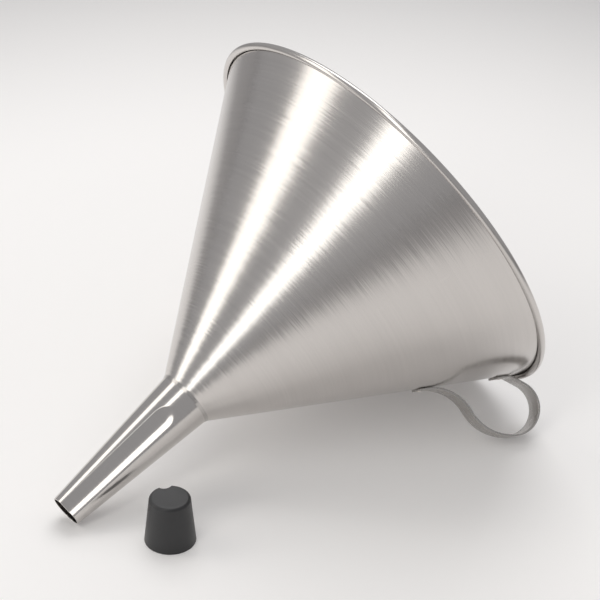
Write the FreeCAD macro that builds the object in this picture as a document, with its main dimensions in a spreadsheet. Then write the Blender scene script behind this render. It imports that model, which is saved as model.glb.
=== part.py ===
import FreeCAD, Part

# Stainless kitchen funnel with a strap handle, a vented spout and a slip-on spout cap.
#
# The funnel lies on a table on three points: the end of its spout, the bead of its rim and the loop
# of its handle. The cap stands beside the spout on its open end.
#
# Row frame: millimetres, +Z up, the table at Z = 0, the origin under the middle of the footprint.
# The funnel's axis is in the XZ plane, spout towards -X and mouth towards +X, the mouth end raised.
#
# Every funnel piece is first drawn in the funnel's own frame: its axis is +Z, the spout's end is at
# Z = 0 and the handle stands out along +X. One placement then lays all of them on the table.

import math
import os

import Sketcher
from FreeCAD import Placement, Rotation, Vector

DIMENSIONS = {
    # bowl: one spun sheet with its edge curled outwards into a hollow bead
    "rim_diameter": 200.0,
    "bead_diameter": 3.2,
    "curl_end_angle": 40.0,
    "cone_length": 124.0,
    "neck_diameter": 26.5,
    "sheet_thickness": 0.6,
    # spout: a tapered tube with a pressed air channel that stops short of the neck
    "spout_length": 72.0,
    "tip_diameter": 15.0,
    "channel_radius": 4.2,
    "channel_depth": 1.9,
    "channel_length": 58.0,
    "channel_shoulder": 2.2,
    "channel_azimuth": -97.0,
    # fillet of weld round the neck
    "weld_leg": 0.9,
    # handle: a flat strap; places are measured along the cone's slant from the neck, heights from it
    "strap_width": 12.0,
    "strap_thickness": 1.0,
    "strap_edge_radius": 0.3,
    "lower_end": 99.2,
    "upper_end": 137.0,
    "upper_foot_length": 5.2,
    "upper_bend_radius": 4.0,
    "loop_radius": 12.4,
    "loop_place": 142.6,
    "loop_height": 15.1,
    "back_radius": 22.3,
    "back_slope": 68.0,
    # the mark of one spot weld on each foot of the strap
    "spot_diameter": 2.8,
    "spot_stand_out": 0.25,
    "spot_edge_radius": 0.2,
    "lower_spot_place": 100.9,
    "upper_spot_place": 140.4,
    # slip-on cap; the rib inside it fills the spout's air channel
    "cap_height": 22.4,
    "cap_open_diameter": 22.4,
    "cap_closed_diameter": 17.8,
    "cap_end_thickness": 1.4,
    "cap_clearance": 0.1,
    "cap_dent_radius": 3.4,
    "cap_dent_depth": 1.7,
    "cap_shoulder": 2.0,
    "cap_edge_radius": 1.5,
    "cap_mouth_radius": 0.3,
    # where the cap stands, from the middle of the spout's end, and the way its dent faces
    "cap_along": 28.8,
    "cap_aside": -36.25,
    "cap_turn": 67.0,
}

# How far a cutting solid runs past the face it opens.
TRIM = 2.0

doc = FreeCAD.newDocument("kitchen_funnel")


# ---------------------------------------------------------------------------------------------------
# Driving dimensions and small helpers


def make_sheet(dimensions):
    """Keeps the driving dimensions in a spreadsheet whose aliases the sizes are bound to."""
    sheet = doc.addObject("Spreadsheet::Sheet", "dims")
    for row, (alias, value) in enumerate(dimensions.items(), start=1):
        sheet.set(f"A{row}", alias)
        sheet.set(f"B{row}", str(value))
        sheet.setAlias(f"B{row}", alias)
    doc.recompute()
    return sheet


dims = make_sheet(DIMENSIONS)


def size(alias):
    """A driving dimension, read back from the spreadsheet."""
    return float(getattr(dims, alias))


def primitive(kind, name, at=None, **sizes):
    """A Part primitive whose properties are bound to formulas on the spreadsheet."""
    solid = doc.addObject(f"Part::{kind}", name)
    if at is not None:
        solid.Placement = at
    for prop, formula in sizes.items():
        solid.setExpression(prop, formula)
    return solid


def boolean(kind, name, base, tool):
    """A Part::Cut or Part::Fuse of two objects."""
    result = doc.addObject(f"Part::{kind}", name)
    result.Base = base
    result.Tool = tool
    doc.recompute()
    return result


def rounded(name, base, radius_of):
    """A Part::Fillet of the edges that radius_of(edge) gives a radius for."""
    doc.recompute()
    radii = [(i, radius_of(edge)) for i, edge in enumerate(base.Shape.Edges, start=1)]
    result = doc.addObject("Part::Fillet", name)
    result.Base = base
    result.Edges = [(i, radius, radius) for i, radius in radii if radius]
    doc.recompute()
    return result


def body_with(name):
    """A PartDesign body and its origin planes by role."""
    body = doc.addObject("PartDesign::Body", name)
    planes = {feature.Role: feature for feature in body.Origin.OriginFeatures}
    return body, planes


def sketch_on(body, plane, name, offset=None):
    """A sketch attached to one of the body's own origin planes."""
    sketch = body.newObject("Sketcher::SketchObject", name)
    sketch.AttachmentSupport = (plane, [""])
    sketch.MapMode = "FlatFace"
    if offset is not None:
        sketch.AttachmentOffset = offset
    return sketch


def dimension(sketch, formula, *constraint):
    """Adds a dimension to a sketch and binds it to a formula on the spreadsheet."""
    index = sketch.addConstraint(Sketcher.Constraint(*constraint))
    sketch.setExpression(f"Constraints[{index}]", formula)


def on_circle(centre, radius, angle):
    """The point of a circle in a sketch's plane at an angle in radians."""
    return centre + Vector(math.cos(angle), math.sin(angle), 0) * radius


def arc(centre, radius, start, end):
    """An arc of a circle in a sketch's plane, anticlockwise between two angles in radians."""
    circle = Part.Circle(centre, Vector(0, 0, 1), radius)
    return Part.ArcOfCircle(circle, start, end)


# ---------------------------------------------------------------------------------------------------
# Bowl


def cone_half_angle():
    """Angle between the axis and the cone's wall, which runs from the neck to touch the bead."""
    bead = size("bead_diameter") / 2
    across = size("rim_diameter") / 2 - bead - size("neck_diameter") / 2
    up = size("cone_length")
    return math.atan2(across, up) - math.asin((bead - size("sheet_thickness")) / math.hypot(across, up))


SLANT = cone_half_angle()


def make_bowl():
    """Cone and curled rim as one sheet, turned about the axis."""
    body, planes = body_with("bowl")
    sketch = sketch_on(body, planes["XZ_Plane"], "bowl_section")
    sheet = size("sheet_thickness")
    bead = size("bead_diameter") / 2
    centre = Vector(size("rim_diameter") / 2 - bead, size("spout_length") + size("cone_length"), 0)
    neck = Vector(size("neck_diameter") / 2, size("spout_length"), 0)
    neck_inside = neck - Vector(sheet / math.cos(SLANT), 0, 0)
    start = math.pi - SLANT
    end = math.radians(size("curl_end_angle")) - math.pi
    wall_inside, curl_outside, curl_end, curl_inside, wall_outside, neck_edge = sketch.addGeometry(
        [
            Part.LineSegment(neck_inside, on_circle(centre, bead, start)),
            arc(centre, bead, end, start),
            Part.LineSegment(on_circle(centre, bead, end), on_circle(centre, bead - sheet, end)),
            arc(centre, bead - sheet, end, start),
            Part.LineSegment(on_circle(centre, bead - sheet, start), neck),
            Part.LineSegment(neck, neck_inside),
        ]
    )
    sketch.addConstraint(
        [
            Sketcher.Constraint("Tangent", wall_inside, 2, curl_outside, 2),
            Sketcher.Constraint("Coincident", curl_outside, 1, curl_end, 1),
            Sketcher.Constraint("Coincident", curl_end, 2, curl_inside, 1),
            Sketcher.Constraint("Tangent", curl_inside, 2, wall_outside, 1),
            Sketcher.Constraint("Coincident", wall_outside, 2, neck_edge, 1),
            Sketcher.Constraint("Coincident", neck_edge, 2, wall_inside, 1),
            Sketcher.Constraint("Coincident", curl_outside, 3, curl_inside, 3),
            Sketcher.Constraint("Parallel", wall_inside, wall_outside),
            Sketcher.Constraint("Horizontal", neck_edge),
            Sketcher.Constraint("PointOnObject", curl_outside, 3, curl_end),
        ]
    )
    bead_radius = "dims.bead_diameter / 2"
    across = f"dims.rim_diameter / 2 - {bead_radius}"
    up = "dims.spout_length + dims.cone_length"
    curl = math.radians(size("curl_end_angle"))
    dimension(sketch, bead_radius, "Radius", curl_outside, bead)
    dimension(sketch, f"{bead_radius} - dims.sheet_thickness", "Radius", curl_inside, bead - sheet)
    dimension(sketch, across, "DistanceX", -1, 1, curl_outside, 3, centre.x)
    dimension(sketch, up, "DistanceY", -1, 1, curl_outside, 3, centre.y)
    dimension(sketch, "dims.neck_diameter / 2", "DistanceX", -1, 1, wall_outside, 2, neck.x)
    dimension(sketch, "dims.spout_length", "DistanceY", -1, 1, wall_outside, 2, neck.y)
    dimension(sketch, "dims.curl_end_angle * 1 deg", "Angle", curl_end, curl)
    turned = body.newObject("PartDesign::Revolution", "bowl_turned")
    turned.Profile = sketch
    turned.ReferenceAxis = (sketch, ["V_Axis"])
    turned.Angle = 360
    doc.recompute()
    return body


# ---------------------------------------------------------------------------------------------------
# Tapered tubes with a pressed channel: the spout, and the cap that fits it


TAPER = "(dims.neck_diameter - dims.tip_diameter) / 2 / dims.spout_length"
WALL_ACROSS = f"dims.sheet_thickness / cos(atan({TAPER}))"


def taper(small, large, length):
    """Half angle of a cone that grows from one diameter to another over a length."""
    return math.atan2((size(large) - size(small)) / 2, size(length))


def channel_bar(name, radius, start_radius, lean, above, length):
    """A round bar with a round end that presses a channel along a tapered wall.

    radius is a formula. The wall has start_radius at Z = 0 and leans out by lean; the bar's axis runs
    above the wall by a fixed distance, from well below Z = 0 up to the given length.
    """
    below = 2 * TRIM
    start = Vector(start_radius + above / math.cos(lean) - below * math.tan(lean), 0, -below)
    turn = Rotation(Vector(0, 1, 0), math.degrees(lean))
    reach = (length + below) / math.cos(lean)
    end = start + Vector(math.sin(lean), 0, math.cos(lean)) * reach
    bar = primitive("Cylinder", f"{name}_bar", Placement(start, turn), Radius=radius)
    bar.Height = reach
    ball = primitive("Sphere", f"{name}_ball", Placement(end, turn), Radius=radius)
    return boolean("Fuse", name, bar, ball)


def shoulder_of(radius, blank_radius_at, bar_radius):
    """Gives the radius to the edges where a channel meets the round wall, not to those of the ends."""

    def radius_of(edge):
        places = [edge.FirstParameter, edge.LastParameter, (edge.FirstParameter + edge.LastParameter) / 2]
        points = [edge.valueAt(place) for place in places]
        level = max(p.z for p in points) - min(p.z for p in points) < 0.001
        beside = all(p.x > 0 and abs(p.y) < 1.2 * bar_radius for p in points)
        on_wall = all(abs(math.hypot(p.x, p.y) - blank_radius_at(p.z)) < 0.02 for p in points)
        seam = all(abs(p.y) < 0.001 for p in points)
        return radius if beside and on_wall and not level and not seam else 0

    return radius_of


def make_spout():
    """Tapered tube whose outside and bore are dented by one channel, so that the wall stays even."""
    lean = taper("tip_diameter", "neck_diameter", "spout_length")
    sheet = size("sheet_thickness")
    tip = size("tip_diameter") / 2
    above = size("channel_radius") - size("channel_depth")
    blank = primitive(
        "Cone",
        "spout_blank",
        Radius1="dims.tip_diameter / 2",
        Radius2="dims.neck_diameter / 2",
        Height="dims.spout_length",
    )
    bore = primitive(
        "Cone",
        "spout_bore",
        Placement(Vector(0, 0, -TRIM), Rotation()),
        Radius1=f"dims.tip_diameter / 2 - {WALL_ACROSS} - {TRIM} * {TAPER}",
        Radius2=f"dims.neck_diameter / 2 - {WALL_ACROSS} + {TRIM} * {TAPER}",
        Height=f"dims.spout_length + 2 * {TRIM}",
    )
    press = channel_bar("press", "dims.channel_radius", tip, lean, above, size("channel_length"))
    backing = channel_bar(
        "backing",
        "dims.channel_radius + dims.sheet_thickness",
        tip,
        lean,
        above,
        size("channel_length"),
    )
    outside = rounded(
        "spout_outside",
        boolean("Cut", "spout_dented", blank, press),
        shoulder_of(
            size("channel_shoulder"),
            lambda z: tip + z * math.tan(lean),
            size("channel_radius"),
        ),
    )
    inside = rounded(
        "spout_inside",
        boolean("Cut", "bore_dented", bore, backing),
        shoulder_of(
            size("channel_shoulder") - sheet,
            lambda z: tip - sheet / math.cos(lean) + z * math.tan(lean),
            size("channel_radius") + sheet,
        ),
    )
    return boolean("Cut", "spout", outside, inside)


def make_spout_cap():
    """Slip-on cap on its open end, with a dent outside and a rib inside for the spout's channel.

    The cavity is the spout's own end enlarged by a small clearance. The cap is drawn closed end down,
    like the spout's end it fits, and turned over when it is placed.
    """
    lean = taper("tip_diameter", "neck_diameter", "spout_length")
    cap_lean = taper("cap_closed_diameter", "cap_open_diameter", "cap_height")
    closed = size("cap_closed_diameter") / 2
    end_wall = size("cap_end_thickness")
    inner_tip = size("tip_diameter") / 2
    rib_above = size("channel_radius") - size("channel_depth")
    depth = "dims.cap_height - dims.cap_end_thickness"
    blank = primitive(
        "Cone",
        "cap_blank",
        Radius1="dims.cap_closed_diameter / 2",
        Radius2="dims.cap_open_diameter / 2",
        Height="dims.cap_height",
    )
    hollow = primitive(
        "Cone",
        "cap_hollow",
        Radius1="dims.tip_diameter / 2 + dims.cap_clearance",
        Radius2=f"dims.tip_diameter / 2 + dims.cap_clearance + ({depth} + {TRIM}) * {TAPER}",
        Height=f"{depth} + {TRIM}",
    )
    long_reach = size("cap_height") + 2 * TRIM
    dent = channel_bar(
        "cap_dent",
        "dims.cap_dent_radius",
        closed,
        cap_lean,
        size("cap_dent_radius") - size("cap_dent_depth"),
        long_reach,
    )
    rib = channel_bar(
        "cap_rib",
        "dims.channel_radius - dims.cap_clearance",
        inner_tip,
        lean,
        rib_above,
        long_reach,
    )
    outside = rounded(
        "cap_shouldered",
        boolean("Cut", "cap_dented", blank, dent),
        shoulder_of(
            size("cap_shoulder"),
            lambda z: closed + z * math.tan(cap_lean),
            size("cap_dent_radius"),
        ),
    )
    outside = rounded(
        "cap_outside",
        outside,
        lambda edge: size("cap_edge_radius")
        if edge.BoundBox.ZMax < 0.001
        else size("cap_mouth_radius")
        if edge.BoundBox.ZMin > size("cap_height") - 0.001
        else 0,
    )
    inside = boolean("Cut", "cap_ribbed_hollow", hollow, rib)
    inside.Placement = Placement(Vector(0, 0, end_wall), Rotation())
    return boolean("Cut", "spout_cap", outside, inside)


# ---------------------------------------------------------------------------------------------------
# Neck weld


def make_neck_weld():
    """Fillet of weld, turned about the axis, in the shallow corner between the spout and the cone."""
    body, planes = body_with("neck_weld")
    sketch = sketch_on(body, planes["XZ_Plane"], "weld_section")
    leg = size("weld_leg")
    lean = taper("tip_diameter", "neck_diameter", "spout_length")
    corner = Vector(size("neck_diameter") / 2, size("spout_length"), 0)
    on_spout = corner - Vector(math.sin(lean), math.cos(lean), 0) * leg
    on_cone = corner + Vector(math.sin(SLANT), math.cos(SLANT), 0) * leg
    spout_leg, face, cone_leg = sketch.addGeometry(
        [
            Part.LineSegment(corner, on_spout),
            Part.LineSegment(on_spout, on_cone),
            Part.LineSegment(on_cone, corner),
        ]
    )
    sketch.addConstraint(
        [
            Sketcher.Constraint("Coincident", spout_leg, 2, face, 1),
            Sketcher.Constraint("Coincident", face, 2, cone_leg, 1),
            Sketcher.Constraint("Coincident", cone_leg, 2, spout_leg, 1),
        ]
    )
    spout_angle = math.atan2(-math.cos(lean), -math.sin(lean))
    cone_angle = math.atan2(-math.cos(SLANT), -math.sin(SLANT))
    dimension(sketch, "dims.neck_diameter / 2", "DistanceX", -1, 1, spout_leg, 1, corner.x)
    dimension(sketch, "dims.spout_length", "DistanceY", -1, 1, spout_leg, 1, corner.y)
    dimension(sketch, "dims.weld_leg", "Distance", spout_leg, leg)
    dimension(sketch, "dims.weld_leg", "Distance", cone_leg, leg)
    sketch.addConstraint(Sketcher.Constraint("Angle", spout_leg, spout_angle))
    sketch.addConstraint(Sketcher.Constraint("Angle", cone_leg, cone_angle))
    turned = body.newObject("PartDesign::Revolution", "neck_weld_turned")
    turned.Profile = sketch
    turned.ReferenceAxis = (sketch, ["V_Axis"])
    turned.Angle = 360
    doc.recompute()
    return body


# ---------------------------------------------------------------------------------------------------
# Handle strap and its spot welds


def on_slant(height, place, aside=0.0):
    """A point given by its height off the cone's outside and its place along the slant."""
    return Vector(
        size("neck_diameter") / 2 + place * math.sin(SLANT) + height * math.cos(SLANT),
        aside,
        size("spout_length") + place * math.cos(SLANT) - height * math.sin(SLANT),
    )


def make_strap_spine(body, plane):
    """The strap's centreline: upper foot, bend, loop, back arc, landing arc and lower foot.

    Drawn in the handle's plane with X = height off the cone and Y = place along its slant.
    """
    half = size("strap_thickness") / 2
    bend_radius = size("upper_bend_radius")
    loop_radius = size("loop_radius")
    back_radius = size("back_radius")
    slope = math.radians(size("back_slope"))
    bend = Vector(half + bend_radius, size("upper_end") + size("upper_foot_length"), 0)
    loop = Vector(size("loop_height"), size("loop_place"), 0)
    back = loop - Vector(back_radius - loop_radius, 0, 0)
    apart = loop - bend
    lift = math.atan2(apart.y, apart.x) + math.acos(-(loop_radius - bend_radius) / apart.Length)
    landing_radius = (back.x + back_radius * math.cos(slope) - half) / (1 - math.cos(slope))
    landing = Vector(half + landing_radius, back.y - (back_radius + landing_radius) * math.sin(slope), 0)
    lower_end = Vector(half, size("lower_end"), 0)
    upper_end = Vector(half, size("upper_end"), 0)
    neck = Vector(size("neck_diameter") / 2, size("spout_length"), 0)
    offset = Placement(neck, Rotation(Vector(0, 0, 1), -math.degrees(SLANT)))
    sketch = sketch_on(body, plane, "strap_spine", offset)
    lower_foot, landing_arc, back_arc, loop_arc, rise, bend_arc, upper_foot = sketch.addGeometry(
        [
            Part.LineSegment(lower_end, on_circle(landing, landing_radius, math.pi)),
            arc(landing, landing_radius, math.pi - slope, math.pi),
            arc(back, back_radius, -slope, 0),
            arc(loop, loop_radius, 0, lift),
            Part.LineSegment(on_circle(loop, loop_radius, lift), on_circle(bend, bend_radius, lift)),
            arc(bend, bend_radius, lift, math.pi),
            Part.LineSegment(on_circle(bend, bend_radius, math.pi), upper_end),
        ]
    )
    sketch.addConstraint(
        [
            Sketcher.Constraint("Tangent", lower_foot, 2, landing_arc, 2),
            Sketcher.Constraint("Tangent", landing_arc, 1, back_arc, 1),
            Sketcher.Constraint("Tangent", back_arc, 2, loop_arc, 1),
            Sketcher.Constraint("Tangent", loop_arc, 2, rise, 1),
            Sketcher.Constraint("Tangent", rise, 2, bend_arc, 1),
            Sketcher.Constraint("Tangent", bend_arc, 2, upper_foot, 1),
            Sketcher.Constraint("Vertical", lower_foot),
            Sketcher.Constraint("Vertical", upper_foot),
            Sketcher.Constraint("Horizontal", back_arc, 3, loop_arc, 3),
        ]
    )
    dimension(sketch, "dims.strap_thickness / 2", "DistanceX", -1, 1, lower_foot, 1, half)
    dimension(sketch, "dims.strap_thickness / 2", "DistanceX", -1, 1, upper_foot, 2, half)
    dimension(sketch, "dims.lower_end", "DistanceY", -1, 1, lower_foot, 1, lower_end.y)
    dimension(sketch, "dims.upper_end", "DistanceY", -1, 1, upper_foot, 2, upper_end.y)
    dimension(sketch, "dims.upper_bend_radius", "Radius", bend_arc, bend_radius)
    dimension(sketch, "dims.loop_radius", "Radius", loop_arc, loop_radius)
    dimension(sketch, "dims.back_radius", "Radius", back_arc, back_radius)
    dimension(sketch, "dims.loop_height", "DistanceX", -1, 1, loop_arc, 3, loop.x)
    dimension(sketch, "dims.loop_place", "DistanceY", -1, 1, loop_arc, 3, loop.y)
    dimension(
        sketch, "dims.upper_foot_length", "DistanceY", upper_foot, 2, upper_foot, 1,
        size("upper_foot_length"),
    )
    dimension(sketch, "dims.back_slope * 1 deg", "Angle", back_arc, slope)
    return sketch


def make_strap_section(body, plane):
    """The strap's rounded rectangular section, square to the lower foot."""
    half = size("strap_thickness") / 2
    edge = size("strap_edge_radius")
    x = half - edge
    y = size("strap_width") / 2 - edge
    offset = Placement(on_slant(half, size("lower_end")), Rotation(Vector(0, 1, 0), math.degrees(SLANT)))
    sketch = sketch_on(body, plane, "strap_section", offset)
    corners = [Vector(x, y, 0), Vector(-x, y, 0), Vector(-x, -y, 0), Vector(x, -y, 0)]
    quarter = math.pi / 2
    arcs = sketch.addGeometry(
        [arc(corner, edge, turn * quarter, (turn + 1) * quarter) for turn, corner in enumerate(corners)]
    )
    starts = [on_circle(corner, edge, (turn + 1) * quarter) for turn, corner in enumerate(corners)]
    ends = [on_circle(corner, edge, turn * quarter) for turn, corner in enumerate(corners)]
    sides = sketch.addGeometry(
        [Part.LineSegment(starts[turn], ends[(turn + 1) % 4]) for turn in range(4)]
    )
    for turn, side in enumerate(sides):
        sketch.addConstraint(Sketcher.Constraint("Tangent", arcs[turn], 2, side, 1))
        sketch.addConstraint(Sketcher.Constraint("Tangent", side, 2, arcs[(turn + 1) % 4], 1))
        sketch.addConstraint(Sketcher.Constraint("Vertical" if turn % 2 else "Horizontal", side))
    for other in arcs[1:]:
        sketch.addConstraint(Sketcher.Constraint("Equal", arcs[0], other))
    sketch.addConstraint(Sketcher.Constraint("Symmetric", arcs[0], 3, arcs[2], 3, -1, 1))
    dimension(sketch, "dims.strap_edge_radius", "Radius", arcs[0], edge)
    width = "dims.strap_width - 2 * dims.strap_edge_radius"
    thickness = "dims.strap_thickness - 2 * dims.strap_edge_radius"
    dimension(sketch, width, "DistanceY", arcs[3], 3, arcs[0], 3, 2 * y)
    dimension(sketch, thickness, "DistanceX", arcs[1], 3, arcs[0], 3, 2 * x)
    return sketch


def make_handle_strap():
    """Flat strap bent into a finger loop, swept along its centreline."""
    body, planes = body_with("handle_strap")
    spine = make_strap_spine(body, planes["XZ_Plane"])
    section = make_strap_section(body, planes["XY_Plane"])
    doc.recompute()
    swept = body.newObject("PartDesign::AdditivePipe", "strap_swept")
    swept.Profile = section
    swept.Spine = spine
    swept.Mode = "Binormal"
    swept.Binormal = Vector(0, 1, 0)
    doc.recompute()
    return body


def make_spot_weld(name, place_alias):
    """Raised mark of a spot weld on a strap foot: a low button with a rounded edge."""
    turn = Rotation(Vector(0, 1, 0), 90 + math.degrees(SLANT))
    button = primitive(
        "Cylinder",
        f"{name}_button",
        Placement(on_slant(size("strap_thickness"), size(place_alias)), turn),
        Radius="dims.spot_diameter / 2",
        Height="dims.spot_stand_out",
    )
    doc.recompute()
    outermost = max(edge.BoundBox.XMax for edge in button.Shape.Edges)
    return rounded(
        name,
        button,
        lambda edge: size("spot_edge_radius")
        if edge.Closed and edge.BoundBox.XMax > outermost - 0.001
        else 0,
    )


# ---------------------------------------------------------------------------------------------------
# Resting on the table


def lying_tilt():
    """Angle of the funnel's axis from the table when the spout's end and the bead both touch it."""
    bead = size("bead_diameter") / 2
    up = size("spout_length") + size("cone_length")
    drop = size("rim_diameter") / 2 - bead - size("tip_diameter") / 2
    return math.atan2(drop, up) + math.asin(bead / math.hypot(drop, up))


def lying(roll):
    """Placement of the funnel lying down, rolled about its own axis by an angle in degrees."""
    tilt = lying_tilt()
    over = Rotation(Vector(0, 1, 0), 90 - math.degrees(tilt))
    centre = Vector(0, 0, size("tip_diameter") / 2 * math.cos(tilt))
    return Placement(centre, over * Rotation(Vector(0, 0, 1), roll))


def roll_to_rest(strap):
    """The roll, in degrees, at which the loop of the handle comes down on the table."""
    points, _ = strap.Shape.tessellate(0.02)
    over = 0.0
    clear = -90.0
    while over - clear > 0.001:
        roll = (over + clear) / 2
        place = lying(roll)
        if min(place.multVec(point).z for point in points) < 0:
            over = roll
        else:
            clear = roll
    return clear


# ---------------------------------------------------------------------------------------------------
# Assembly


bowl = make_bowl()
spout = make_spout()
neck_weld = make_neck_weld()
handle_strap = make_handle_strap()
lower_spot_weld = make_spot_weld("lower_spot_weld", "lower_spot_place")
upper_spot_weld = make_spot_weld("upper_spot_weld", "upper_spot_place")
spout_cap = make_spout_cap()
doc.recompute()

rest = lying(roll_to_rest(handle_strap))
spout_turn = Placement(Vector(), Rotation(Vector(0, 0, 1), size("channel_azimuth")))
cap_stand = Placement(
    rest.Base + Vector(size("cap_along"), size("cap_aside"), size("cap_height") - rest.Base.z),
    Rotation(Vector(0, 0, 1), size("cap_turn")) * Rotation(Vector(1, 0, 0), 180),
)
assembly = {
    bowl: rest,
    spout: rest * spout_turn,
    neck_weld: rest * neck_weld.Placement,
    handle_strap: rest,
    lower_spot_weld: rest,
    upper_spot_weld: rest,
    spout_cap: cap_stand,
}
for piece, place in assembly.items():
    piece.Placement = place
doc.recompute()

footprint = FreeCAD.BoundBox()
for piece in assembly:
    footprint.add(piece.Shape.optimalBoundingBox(True, False))
shift = Placement(Vector(-footprint.Center.x, -footprint.Center.y, -footprint.ZMin), Rotation())
for piece, place in assembly.items():
    piece.Placement = shift * place
    piece.Label = piece.Name
doc.recompute()

for item in doc.Objects:
    if "Invalid" in item.State or "Error" in item.State:
        raise RuntimeError(f"{item.Name} did not compute: {item.State}")
os.makedirs("parts", exist_ok=True)
for piece in assembly:
    if piece.Shape.isNull() or not piece.Shape.isValid():
        raise RuntimeError(f"{piece.Name} has no valid shape")
    piece.Shape.exportStep(f"parts/{piece.Label}.step")
    print(piece.Label, len(piece.Shape.Solids), round(piece.Shape.Volume, 1), piece.Shape.BoundBox)
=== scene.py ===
# %% [markdown]
# # A kitchen funnel and its spout cap
#
# The real object is a thin steel cone with a curled rim, a tapered spout with an air channel pressed into
# it, and a strap bent into a finger loop. A soft black cap stands beside it. The funnel lies on its side.
#
# The solids come from a CAD program, already lying in place and measured in metres, so the first step is
# to load them. They fix every position and size. This script only adds the looks.

import bpy
import bmesh
import numpy as np
from mathutils import Matrix, Vector


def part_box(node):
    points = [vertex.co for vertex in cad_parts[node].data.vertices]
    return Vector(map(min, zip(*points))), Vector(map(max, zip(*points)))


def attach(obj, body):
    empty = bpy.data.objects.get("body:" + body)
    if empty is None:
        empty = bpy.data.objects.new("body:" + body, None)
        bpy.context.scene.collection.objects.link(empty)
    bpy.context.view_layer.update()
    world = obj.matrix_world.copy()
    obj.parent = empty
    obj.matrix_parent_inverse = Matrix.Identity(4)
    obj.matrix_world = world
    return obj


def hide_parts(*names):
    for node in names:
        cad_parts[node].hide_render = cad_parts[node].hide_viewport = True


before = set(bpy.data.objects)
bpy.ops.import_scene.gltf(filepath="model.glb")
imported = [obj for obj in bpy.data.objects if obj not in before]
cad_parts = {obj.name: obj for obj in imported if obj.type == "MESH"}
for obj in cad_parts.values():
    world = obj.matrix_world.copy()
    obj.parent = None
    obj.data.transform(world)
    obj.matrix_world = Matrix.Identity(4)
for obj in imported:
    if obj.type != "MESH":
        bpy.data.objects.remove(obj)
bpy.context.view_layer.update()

for node in sorted(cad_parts):
    low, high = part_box(node)
    print(f"{node:16} {[round(x * 1000, 1) for x in low]} {[round(x * 1000, 1) for x in high]} mm")

# %% [markdown]
# ## The funnel's own frame
#
# A funnel is simplest to describe standing on its spout, with its axis upright. It could be drawn that way
# and the object turned afterwards, but a finished piece has to sit unturned at the origin with its place
# in its mesh. So each shape is worked out in the upright frame, in millimetres, and one function lays its
# points on the table. The tilt is the angle at which both the spout's end and the bead of the rim touch
# the table, and the roll is the angle at which the finger loop comes down on it.

# %% Lay points on the table
MM = 0.001

TIP_RADIUS = 7.5
NECK_RADIUS = 13.25
SPOUT_LENGTH = 72.0
CONE_LENGTH = 124.0
RIM_RADIUS = 100.0
BEAD_RADIUS = 1.6
SHEET = 0.6
ROLL = np.radians(-42.322)

bead_up = SPOUT_LENGTH + CONE_LENGTH
bead_out = RIM_RADIUS - BEAD_RADIUS
drop = bead_out - TIP_RADIUS
tilt = np.arctan2(drop, bead_up) + np.arcsin(BEAD_RADIUS / np.hypot(drop, bead_up))

axis = np.array([np.cos(tilt), 0.0, np.sin(tilt)])
down = np.array([np.sin(tilt), 0.0, -np.cos(tilt)])
side = np.array([0.0, 1.0, 0.0])
handle_out = np.cos(ROLL) * down + np.sin(ROLL) * side
handle_across = -np.sin(ROLL) * down + np.cos(ROLL) * side

tip_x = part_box("spout")[0].x / MM + TIP_RADIUS * np.sin(tilt)
tip = np.array([tip_x, 0.0, TIP_RADIUS * np.cos(tilt)])


def lay(points):
    """Upright millimetres to metres on the table: x, y and z times the three turned axes, plus the tip."""
    turned = points @ np.stack([handle_out, handle_across, axis])
    return (turned + tip) * MM


def around(radius, height, angle):
    """Points at a radius, a height and an angle about the upright axis."""
    return np.stack([radius * np.cos(angle), radius * np.sin(angle), height + 0 * angle], axis=-1)


print("tilt", round(float(np.degrees(tilt)), 2), "degrees; spout's end at", tip.round(2), "mm")

# %% [markdown]
# ## From a grid of points to a mesh
#
# Every piece here is a surface over a grid: rows run along a profile or a path and columns run round it.
# Such a mesh could be modelled by hand with a spin or a sweep. Worked out as whole arrays it is exact, the
# quads follow the shape, and each corner's place on the grid gives a UV map for free. Rows either join up
# end to end, as on a tube with two walls, or shrink to a point at each end. The signed volume tells
# whether the faces look outwards.

# %% Make a mesh from a grid


def grid_quads(rows, columns, rows_close):
    """Corner numbers of the quads between neighbouring rows and columns; columns always close."""
    row = np.arange(rows if rows_close else rows - 1)[:, None]
    column = np.arange(columns)[None, :]
    after_row = (row + 1) % rows
    after_column = (column + 1) % columns
    corners = [
        row * columns + column,
        row * columns + after_column,
        after_row * columns + after_column,
        after_row * columns + column,
    ]
    return np.stack(corners, axis=-1).reshape(-1, 4)


def grid_uv(rows, columns, rows_close):
    """UV of every quad's corners: u goes once round the columns and v once along the rows."""
    row = np.arange(rows if rows_close else rows - 1)[:, None] + 0.0 * np.arange(columns)[None, :]
    column = np.arange(columns)[None, :] + 0.0 * row
    steps = rows if rows_close else rows - 1
    u = np.stack([column, column + 1, column + 1, column], axis=-1) / columns
    v = np.stack([row, row, row + 1, row + 1], axis=-1) / steps
    return np.stack([u, v], axis=-1).reshape(-1, 2)


def signed_volume(points, quads):
    """Volume inside the quads: a sixth of the corners' triple products, positive when they face out."""
    a, b, c, d = (points[quads[:, i]] for i in range(4))
    halves = np.einsum("ij,ij->i", a, np.cross(b, c)) + np.einsum("ij,ij->i", a, np.cross(c, d))
    return halves.sum() / 6


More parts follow.
